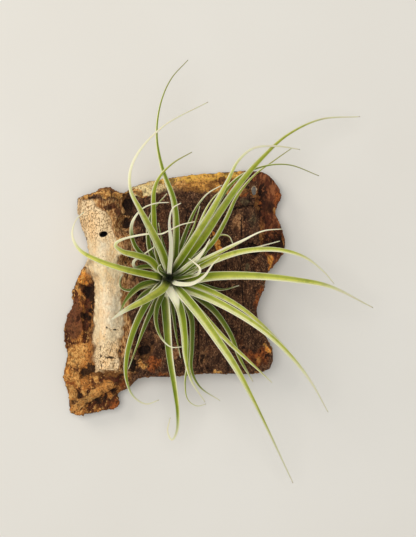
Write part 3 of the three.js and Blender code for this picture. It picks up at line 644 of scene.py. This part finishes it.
stem_finish = Finish("scurfy_stem", Roughness=0.85, Specular_IOR_Level=0.2)
stem_scurf = stem_finish.cloud(stem_finish.place(), (700, 700, 200))
stem_height = stem_finish.axis(stem_finish.place(), "Z")
sheathed = stem_finish.mark("sheath").step(0.1, 0.75)
# Dark olive where the stem is bare between sheaths, partly painted shade in those gaps.
husk = stem_finish.mix(colour(58, 62, 30), colour(176, 178, 122), sheathed)
husk = stem_finish.mix(husk, colour(206, 204, 168), stem_scurf.step(0.48, 0.64) * 0.7)
husk = stem_finish.mix(husk, colour(150, 112, 70), (1 - stem_height.step(0.022, 0.03)) * 0.7)
# Painted shade: the stem darkens near its tip, and its hollow is near black.
husk = stem_finish.mix(husk, colour(44, 52, 22), stem_height.step(0.040, 0.046) * 0.75)
husk = stem_finish.mix(husk, colour(22, 26, 12), stem_finish.mark("hollow"))
stem_finish.put("Base Color", husk)
stem_finish.relief(stem_scurf, 0.0004)
stem_mesh.materials.append(stem_finish.material)
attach(stem, "root")
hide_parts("stem")


# Roots. Thin wiry strands that run out from a small collar under the stem and hold the bark.
# They are dry and brown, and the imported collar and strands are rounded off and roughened.
ROOT_VOXEL = 0.22 * MM

wiry_mesh = rounded_copy("roots", ROOT_VOXEL, 4)
for point in wiry_mesh.vertices:
    point.co += point.normal * 0.15 * MM * noise.noise(point.co / (1.2 * MM))
wiry_mesh.shade_smooth()
wiry_mesh.materials.clear()
wiry_roots = place_object("wiry_roots", wiry_mesh)
root_finish = Finish("wiry_root", Roughness=0.8, Specular_IOR_Level=0.3)
root_grain = root_finish.cloud(root_finish.place(), (1500, 1500, 1500))
root_shade = root_finish.mix(colour(52, 34, 22), colour(112, 82, 54), root_grain.step(0.4, 0.7))
root_finish.put("Base Color", root_shade)
root_finish.relief(root_grain, 0.0002)
wiry_mesh.materials.append(root_finish.material)
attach(wiry_roots, "root")
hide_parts("roots")


# Leaves. Narrow channelled blades, silvery where they clasp the stem and along their margins,
# drawn out to dry threads. Each follows the route of its packed blade, from the youngest out.

# A row is the blade's width, what else sets it apart, and its route in plan, in millimetres.
# Droop is how far its tip hangs down, knee is the share of its length where it narrows, and the
# larger blunt is, the longer it stays wide.
LEAVES = [
    (1.6, {"blunt": 1.6}, [(-3, 2), (-4.8, 3.5), (-5.3, 5.5), (-4, 6.8)]),
    (2.4, {"blunt": 1.6}, [(0.3, 5), (1, 17), (0.2, 28.5), (2, 35), (6, 37.5)]),
    (2.2, {"blunt": 1.4}, [(5.5, 0), (10.5, 0.8), (14.8, 2.2), (15.6, 4.6), (12.5, 7.8), (9.8, 9.8)]),
    (4.8, {"blunt": 1.7}, [(-3, -4.8), (-11.5, -10.5), (-20.5, -15.3), (-28.8, -20.8)]),
    (4.6, {"droop": 4, "knee": 0.42},
     [(-3, 11), (-8.5, 22.5), (-14.8, 34.5), (-19.3, 44),
      (-19.3, 54), (-14.5, 64), (-2, 76.5), (19.5, 88)]),
    (2.2, {"blunt": 1.4}, [(3, -2.5), (11, -3), (17.5, 0.8), (22, 7), (25.3, 10.3)]),
    (3.4, {"blunt": 1.8}, [(5.5, 3), (10, 6.5), (14, 9.8), (17.5, 14), (20.5, 19.5)]),
    (4, {"blunt": 1.2, "knee": 0.38},
     [(-6, 5), (-9.5, 8.7), (-17, 11.3), (-23.5, 13.2), (-27, 16.5), (-24.5, 18.8),
      (-11, 22), (-4, 22), (0.5, 24), (6, 26.6), (13, 28.2)]),
    (4, {"droop": 6, "knee": 0.5, "blunt": 1.5},
     [(4, 7), (11.8, 19), (21.3, 34), (29.5, 49), (34.5, 58.5), (42, 64.8), (53, 66), (65.5, 64.3)]),
    (2, {"blunt": 1.4}, [(5, 1), (9, 3), (12.5, 4.5), (15.5, 6.8)]),
    (5.2, {"droop": 8, "knee": 0.55, "blunt": 1.2},
     [(4, -5), (13.5, -16.5), (24, -31), (33, -44.5), (41, -59), (49, -75), (62, -102.5)]),
    (3, {},
     [(-8.5, 7), (-13, 11), (-17, 16), (-18.8, 22), (-18.3, 28), (-13.5, 34.5), (-7, 37.3), (0, 37.8)]),
    (3, {}, [(7, 4), (21, 11), (36, 18.3), (47, 23.5), (56.5, 24.5)]),
    (4, {"droop": 4, "knee": 0.75, "blunt": 1.2},
     [(-7, 1), (-22, 4.1), (-36.5, 9.1), (-45, 14.3), (-48.4, 21.5), (-46.5, 29), (-42.5, 33)]),
    (4.5, {"droop": 8, "knee": 0.58, "blunt": 1.3},
     [(5.5, 6.5), (15.8, 19), (25.8, 34), (36.5, 49),
      (47, 60.8), (59, 71.5), (75.5, 79.3), (95.5, 80.7)]),
    (3.8, {"droop": 8, "knee": 0.8, "blunt": 1.4},
     [(7.5, 2), (21.5, 8.3), (38, 13.4), (54.5, 14), (67.5, 10.5), (77, 3.5), (82.5, -2.8)]),
    (2.6, {}, [(-8.5, 5.5), (-13, 5.6), (-17, 5.2), (-17.8, 8), (-13, 11.6), (-6, 16.5)]),
    (4.9, {"droop": 12, "knee": 0.62, "blunt": 1.3},
     [(1, -6), (5.5, -16), (7.5, -28.5), (8.3, -40), (11, -51), (18, -62)]),
    (3.6, {"droop": 3, "knee": 0.7, "blunt": 1.4},
     [(-4.5, 8), (-7, 20), (-7.8, 33), (-7.5, 44), (-4.5, 51), (2, 57.5), (11.5, 63)]),
    (4.4, {"droop": 8, "knee": 0.85, "blunt": 1.2},
     [(5.5, -4.3), (20.5, -10.5), (35.5, -18.5), (49.5, -28.3), (61, -39.3), (71, -52), (79.5, -67)]),
    (3.9, {"droop": 6, "knee": 0.5},
     [(2.5, 8), (3.5, 24), (2.3, 38.5), (-3.5, 55), (-6.2, 71), (-4.3, 87), (1, 99.5), (9.5, 109)]),
    (5, {"droop": 12, "knee": 0.8, "blunt": 1.4},
     [(8, -1), (23, 0.8), (43, 0.9), (63, -1), (80.5, -4.3), (102, -14.8)]),
    (3.8, {"droop": 14, "knee": 0.65, "blunt": 1.4},
     [(-5.5, -4), (-12.5, -14.5), (-18, -26.5), (-21.3, -39.5),
      (-21.5, -50), (-18, -59), (-11.5, -63), (-5, -61)]),
    (3.2, {"droop": 6, "knee": 0.55},
     [(7, 8.5), (18.5, 25.5), (27, 42), (35.5, 50.8), (47.5, 55.9), (60, 56.6), (75, 51.1)]),
    (3.2, {"droop": 2, "knee": 0.9, "blunt": 1.4},
     [(8, -2), (22, -7.3), (36, -15), (48.5, -25.3), (59.5, -36.5), (63.5, -41.5)]),
    (3.2, {}, [(-6, 7), (-9, 12), (-10.5, 19), (-10.3, 26), (-8.5, 33), (-1, 42.3)]),
    (3.2, {}, [(-3.5, -8.5), (-6.2, -15), (-6.4, -23), (-3.5, -30.5), (1, -34.5), (6.5, -34.5)]),
    (2.8, {}, [(6, 8), (13.5, 22.5), (18.5, 34.5), (23, 41), (28, 45)]),
    (4, {"blunt": 1.5}, [(-7, -2), (-14.5, -4.3), (-21, -10.5), (-25.3, -18.5)]),
    (2.4, {}, [(10.5, 5), (20.5, 8), (30.5, 11.8), (45.5, 15.8), (55.5, 18.5)]),
    (3.2, {"droop": 5, "knee": 0.85, "blunt": 1.4},
     [(5.5, -7), (14.5, -16), (28.5, -31), (41.5, -43), (51.5, -52.3)]),
    (2, {}, [(-1, 8), (-2.2, 14.5), (-3.8, 20.5), (-5.3, 27.5)]),
    (4.8, {"droop": 14, "knee": 0.9, "blunt": 1.1},
     [(-2, -7.5), (-1.2, -23), (0.3, -39.5), (3, -56), (4.4, -68),
      (3.8, -77), (1.5, -81), (-0.7, -77), (0.6, -69.8)]),
    (2.8, {"knee": 0.6, "blunt": 1.3},
     [(8, 6.5), (21, 17), (28.3, 29), (34, 41), (42.5, 51.3), (51.5, 58), (61.5, 65)]),
    (2.2, {}, [(4, 8), (7, 14), (10, 20), (12.3, 25.5), (15.5, 36)]),
    (3.4, {}, [(-4.5, -7.5), (-11, -21), (-16, -34), (-20.3, -45.5)]),
    (3.2, {"droop": 8, "knee": 0.75, "blunt": 1.3},
     [(5.5, -7.5), (11, -20), (11.4, -34), (11.2, -46), (15.5, -54.5), (25.5, -61.3)]),
    (3, {}, [(10.5, 5), (16.5, 11), (21.5, 17.5), (26, 21.5), (30, 20.8), (32, 17)]),
    (2.8, {}, [(3.5, 8), (7.8, 21.5), (13.5, 34.8), (19, 42), (26.5, 46.5)]),
    (2.8, {"droop": 8},
     [(2.5, -9), (7.8, -25), (9.3, -41), (8, -53), (9.5, -61), (14, -64), (18.5, -63)]),
    (2.8, {}, [(-6, -4.5), (-10, -6), (-13.5, -8.3), (-19, -14.5)]),
    (3.4, {"droop": 3, "knee": 0.9, "blunt": 1.8},
     [(10.5, -7), (22.5, -16.5), (30.5, -28), (35.5, -40.5), (42, -51.8)]),
    (2.4, {}, [(1, -9), (2, -17), (3.8, -30), (5.8, -40)]),
    (2.6, {}, [(-7, -3), (-13, -4.5), (-21, -6.2), (-24.2, -4.5), (-24.3, 0), (-23, 1.8)]),
    (3, {}, [(8, -1.5), (15.5, -3.3), (26.5, -5.8), (35, -3.8)]),
]
# How high a blade arches: more the younger it is, and more again for the very youngest.
CROWN_LIFT, INNER_LIFT, INNER_POWER, CROWN_SINK = 34, 14, 8, 1
CROWN_CREST = 48  # how far out the arch is highest
DROOP_FROM = 0.45  # share of the length where a blade starts to hang
RING_SPACING = 1.1  # between two rings of a blade, in millimetres
ROUTE_STEPS = 400  # short steps in which a route is measured
AROUND = 24  # points of a ring, half on the upper and half on the under face
ROLLED_FROM = 0.42  # share of the half width where the margin on the light side starts to roll
ROLL = 1.3  # how far that margin rolls in, in radians
SHEATH_REACH = 9  # how far out a blade reaches its full width
CLASP, THREAD = 2.3, 0.42  # width where a blade clasps the stem, and of the tip of its thread
THINNING, KNEE = 0.45, 0.65  # by how much a blade narrows past its knee, and where that is
TIP_THICKNESS, MORE_AT_BASE = 0.42, 0.3
# The dark base of a blade is painted shade of the heart.
THROAT_EAST, THROAT_WEST = 7.5, 3.6  # how far up its base is dark, on either side of the heart


def on_route(points, place):
    """The point of a centripetal Catmull-Rom curve at that place, counted in spans."""
    span = min(int(place), len(points) - 2)
    weight = place - span
    b, c = points[span], points[span + 1]
    a = points[span - 1] if span > 0 else 2 * b - c
    d = points[span + 2] if span + 2 < len(points) else 2 * c - b
    ab, bc, cd = ((q - p).length ** 0.5 for p, q in ((a, b), (b, c), (c, d)))
    leave = ((b - a) / ab - (c - a) / (ab + bc) + (c - b) / bc) * bc
    arrive = ((c - b) / bc - (d - b) / (bc + cd) + (d - c) / cd) * bc
    square, cube = weight ** 2, weight ** 3
    curve = b * (2 * cube - 3 * square + 1) + leave * (cube - 2 * square + weight)
    return curve + c * (3 * square - 2 * cube) + arrive * (cube - square)


def blade_line(route, rank, droop):
    """Points of the midrib a ring apart, with the share of the length and the way out."""
    first = Vector(route[0])
    root = first.normalized() * root_radius(rank)
    points = [Vector(point) for point in route]
    points = [root] + (points if first.length > root.length + 1 else points[1:])
    fine = [on_route(points, (len(points) - 1) * k / ROUTE_STEPS) for k in range(ROUTE_STEPS + 1)]
    along = [0]
    for p, q in zip(fine, fine[1:]):
        along.append(along[-1] + (q - p).length)
    rings = max(12, round(along[-1] / RING_SPACING))
    lift = CROWN_LIFT * rank + INNER_LIFT * rank ** INNER_POWER - CROWN_SINK
    midrib = []
    at = 0
    for ring in range(rings + 1):
        out = along[-1] * ring / rings
        while at < ROUTE_STEPS - 1 and along[at + 1] < out:
            at += 1
        plan = fine[at].lerp(fine[at + 1], (out - along[at]) / (along[at + 1] - along[at]))
        share = ring / rings
        reach = max(0, plan.length - root_radius(rank)) / CROWN_CREST
        height = root_height(rank) + lift * math.sin(reach * math.pi / 2)
        height -= droop * max(0, (share - DROOP_FROM) / (1 - DROOP_FROM)) ** 2
        midrib.append((Vector((plan.x, plan.y, height)), share, out))
    return midrib


def blade_section(hollow, roll, flat_side):
    """Points across a blade of unit width, each with how far the blade is tilted there."""
    steps = AROUND // 2
    tilts = []
    for k in range(steps + 1):
        side = 2 * k / steps - 1
        tilt = hollow * side
        if side * flat_side < -ROLLED_FROM:
            tilt -= flat_side * roll * ((abs(side) - ROLLED_FROM) / (1 - ROLLED_FROM)) ** 1.3
        tilts.append(tilt)
    middle = steps // 2
    places = {middle: Vector((0, 0))}
    for k in range(middle, steps):
        tilt = (tilts[k] + tilts[k + 1]) / 2
        places[k + 1] = places[k] + Vector((math.cos(tilt), math.sin(tilt)))
    for k in range(middle, 0, -1):
        tilt = (tilts[k] + tilts[k - 1]) / 2
        places[k - 1] = places[k] - Vector((math.cos(tilt), math.sin(tilt)))
    widest = max(p.x for p in places.values()) - min(p.x for p in places.values())
    return [(places[k] / widest, tilts[k]) for k in range(steps + 1)]


# How each leaf looks: how deep its green is, how much of its lit half is silvery, which is partly
# painted light, and the share of its length where the thread turns cream.
LEAF_LOOKS = {
    1: (0.65, 0.35, 0.95), 2: (0, 1.1, 0.75), 3: (0.8, -0.1, 0.5), 4: (-0.25, 0.2, 0.74),
    5: (0.15, 0.4, 0.45), 6: (0.1, 1, 0.4), 7: (0.25, 0.6, 0.5), 8: (0.1, 0.2, 0.44),
    9: (0.25, 0.3, 0.66), 10: (0.55, 0.05, 0.85), 11: (0.2, 0.45, 0.8), 12: (0.85, 0.1, 0.56),
    13: (0.15, 0.55, 0.6), 14: (0.06, 0.12, 0.7), 15: (0.35, 0.25, 0.85), 16: (0.02, 0.4, 0.8),
    17: (1, -0.5, 0.5), 18: (0.45, 0.36, 0.8), 19: (0.5, 0.15, 1), 20: (0.15, 0.5, 0.75),
    21: (0.65, 0.35, 1), 22: (0.22, 0.3, 0.78), 23: (0.65, 0.15, 0.8), 24: (0.75, 0.2, 1),
    25: (0.15, 0.3, 0.75), 26: (0.85, 0.15, 0.95), 27: (0.95, -0.15, 0.72), 28: (0.05, 0.5, 0.95),
    29: (1, -0.3, 0.95), 30: (0.45, 0.15, 0.75), 31: (-0.1, 0.35, 0.95), 32: (1, 0.05, 0.95),
    33: (0.7, 0.2, 0.8), 34: (0.4, 0.3, 1), 35: (0.75, 0.1, 0.95), 36: (0.85, 0.1, 0.95),
    37: (1, -0.05, 0.9), 38: (0.25, 0.5, 0.95), 39: (0.9, 0.05, 0.75), 40: (0.6, 0.3, 0.9),
    41: (1, -0.3, 0.95), 42: (0.85, 0.05, 0.95), 43: (0.9, 0, 0.9), 44: (0.95, 0, 0.9),
    45: (1, 0.1, 0.95),
}
LEAF_MARKS = ("sideways", "silver", "depth", "throat_shade", "underneath", "thread", "dry")
# Leaves whose base stands out: how silvery it is all across, how far out, and how wide it clasps.
LEAF_BASES = {
    2: (0.3, 15, 2.3), 4: (0, 1, 5), 6: (0.3, 15, 2.3), 14: (0, 1, 4.6), 17: (1.5, 8, 3.4),
    18: (0.6, 14, 5.6), 33: (0.9, 5, 3),
}
# Leaves that narrow in another way: by how much, and where the knee is.
LEAF_THINNING = {4: (0.1, 0.65), 5: (0.55, 0.32), 8: (0.72, 0.38), 12: (0.6, 0.65), 27: (0.6, 0.65)}
LIT_OTHERWISE = {33}  # leaves whose silvery half is the other one

leaf = Finish(
    "silvery_leaf", Roughness=0.55, Specular_IOR_Level=0.15, Subsurface_Weight=0.1,
    Subsurface_Radius=(0.4, 1, 0.2), Subsurface_Scale=0.001,
)
leaf_place = leaf.place()
leaf_uv = leaf.node("ShaderNodeUVMap", {"uv_map": "UVMap"}, {})
sideways = leaf.mark("sideways")  # 1 at the lit margin and -1 at the shaded one
silver = leaf.mark("silver")
depth = leaf.mark("depth")
veins = leaf.cloud(leaf_uv, (3, 90, 1), 2)
mottle = leaf.cloud(leaf_place, (260, 260, 260), 3)
scurf = leaf.cloud(leaf_place, (3200, 3200, 3200), 2)
green = leaf.mix(colour(214, 213, 98), colour(138, 150, 28), depth.step(0, 0.5))
green = leaf.mix(green, colour(60, 72, 10), depth.step(0.45, 1))
# Painted light and shade: the lit half is lighter, the fold of the channel and the shaded half darker.
lit_half = sideways.step(-0.1, 0.6)
fold_shade = (1 - abs(sideways + 0.28) * 2.4).step(0, 0.8)
green = leaf.mix(green, colour(206, 206, 98), lit_half * 0.3)
green = leaf.mix(green, colour(70, 92, 10), fold_shade * (0.12 + depth * 0.35))
green = leaf.mix(green, colour(92, 118, 18), (0 - sideways).step(-0.1, 0.5) * 0.4)
green = leaf.mix(green, colour(208, 210, 120), veins.step(0.5, 0.75) * 0.25)
green = leaf.mix(green, colour(90, 108, 22), mottle.step(0.45, 0.7) * 0.35)
whitish = leaf.mix(colour(206, 208, 150), colour(240, 238, 210), silver.step(0.4, 0.9))
silvery = leaf.mix(whitish, colour(240, 238, 204), scurf.step(0.42, 0.65) * 0.6)
# Silvery scurf and cream margins, laid heavier on the lit half and margin: partly the real scurf, partly
# painted light.
lit = sideways * 0.5 + 0.5
silver_and_light_mask = (lit + silver - 1).step(-0.12, 0.12) * (0.72 + silver * 0.25)
coat = leaf.mix(green, silvery, silver_and_light_mask)
cream = colour(255, 250, 222)
margin = 0.5 + silver * 0.7
coat = leaf.mix(coat, cream, sideways.step(0.7, 0.84) * margin)
shaded_margin = (0 - sideways).step(0.82, 0.93)
coat = leaf.mix(coat, cream, shaded_margin * margin * 0.7)
# Painted shade where the blade's base sits deep in the heart.
coat = leaf.mix(coat, colour(34, 44, 18), leaf.mark("throat_shade") * 0.88)
coat = leaf.mix(coat, colour(156, 166, 112), leaf.mark("underneath") * 0.7)
coat = leaf.mix(coat, colour(246, 241, 210), leaf.mark("thread"))
coat = leaf.mix(coat, colour(150, 144, 112), leaf.mark("dry"))
leaf.put("Base Color", coat)
leaf.put("Roughness", 0.45 + scurf * 0.3)
leaf.relief(scurf * 0.4 + veins * 0.6, 0.00012, 0.6)

for order, (width, traits, route) in enumerate(LEAVES):
    number = order + 1
    random.seed(order)
    rank = 1 - order / (len(LEAVES) - 1)
    midrib = blade_line(route, rank, traits.get("droop", 0))
    narrowing, knee = LEAF_THINNING.get(number, (THINNING, traits.get("knee", KNEE)))
    heading = midrib[len(midrib) // 3][0] - midrib[0][0]
    flat_side = 1 if heading.y - 0.4 * heading.x > 0 else -1  # the margin away from the light
    lit_side = flat_side if number in LIT_OTHERWISE else -flat_side
    twist = random.uniform(-0.25, 0.25)
    green_depth, silveriness, pale_from = LEAF_LOOKS[number]
    whiteness, white_length, clasp = LEAF_BASES.get(number, (0, 1, CLASP))
    throat_length = (THROAT_EAST if route[0][0] > 1 else THROAT_WEST) * (0.2 if whiteness else 1)
    blade_form = bmesh.new()
    uv_layer = blade_form.loops.layers.uv.new("UVMap")
    bmesh.ops.create_grid(blade_form, x_segments=len(midrib) - 1, y_segments=AROUND, size=1)
    layers = {mark: blade_form.verts.layers.float.new(mark) for mark in LEAF_MARKS}
    for face in blade_form.faces:
        for corner in face.loops:
            corner[uv_layer].uv = ((corner.vert.co.x + 1) / 2, (corner.vert.co.y + 1) / 2)
    sections = {}
    for point in blade_form.verts:
        ring = round((point.co.x + 1) / 2 * (len(midrib) - 1))
        lane = round((point.co.y + 1) / 2 * AROUND)
        at, share, out = midrib[ring]
        if ring not in sections:
            ahead = midrib[min(ring + 1, len(midrib) - 1)][0]
            behind = midrib[max(ring - 1, 0)][0]
            run = (ahead - behind).normalized()
            level = Vector((run.y, -run.x, 0)).normalized()
            opening = step(0, SHEATH_REACH, out)
            thinned = 1 - narrowing * step(knee - 0.15, knee + 0.15, share)
            taper = (1 - share) ** (1 / traits.get("blunt", 1)) * thinned
            sheath = clasp + (width - clasp) * opening
            full = THREAD + (sheath - THREAD) * taper
            hollow = 0.9 - 0.45 * step(0, 0.5, share) - 0.2 * step(0.6, 1, share)
            roll = ROLL * step(0.03, 0.2, share) * (1 - 0.6 * step(0.6, 1, share))
            turned = twist * share
            across = level * math.cos(turned) + level.cross(run) * math.sin(turned)
            sections[ring] = (run, across, full, blade_section(hollow, roll, flat_side))
        run, across, full, section = sections[ring]
        over = lane <= AROUND // 2
        column = lane if over else AROUND - lane
        place, tilt = section[column]
        k = 2 * column / (AROUND // 2) - 1  # -1 at one margin and 1 at the other
        thickness = (TIP_THICKNESS + MORE_AT_BASE * (1 - share)) * math.sqrt(max(0, 1 - k * k))
        thickness *= min(1, full / 1.2)
        offset = Vector((-math.sin(tilt), math.cos(tilt))) * (thickness / 2 if over else -thickness / 2)
        up = across.cross(run)
        target = at + across * (place.x * full + offset.x) + up * (place.y * full + offset.y)
        point.co = in_sight(*target)
        values = {
            "sideways": k * lit_side,
            "silver": silveriness + whiteness * step(white_length, white_length * 0.5, out),
            # Painted shade: the green deepens over the inner 26 mm of a blade, towards the heart.
            "depth": min(1, max(0, green_depth + 0.5 * step(26, 4, out) - 0.25 * step(0.3, 0.9, share))),
            "throat_shade": 1 - step(0.3, 1, out / throat_length),
            "underneath": 0 if over else 1 - k ** 4,
            "thread": step(pale_from - 0.12, pale_from + 0.12, share) * (0.9 if pale_from < 1 else 0.3),
            "dry": step(0.7, 1, share) * (0.75 if pale_from == 1 else 0.25),
        }
        for mark, value in values.items():
            point[layers[mark]] = value
    bmesh.ops.remove_doubles(blade_form, verts=blade_form.verts, dist=0.002 * MM)
    rims = [edge for edge in blade_form.edges if edge.is_boundary]
    bmesh.ops.holes_fill(blade_form, edges=rims, sides=0)
    bmesh.ops.recalc_face_normals(blade_form, faces=blade_form.faces)
    name = f"leaf_{number:02d}"
    blade_mesh = bpy.data.meshes.new(name + "_blade")
    blade_form.to_mesh(blade_mesh)
    blade_form.free()
    blade_mesh.shade_smooth()
    blade_mesh.materials.append(leaf.material)
    blade = place_object(name + "_blade", blade_mesh)
    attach(blade, "root")
    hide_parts(name)
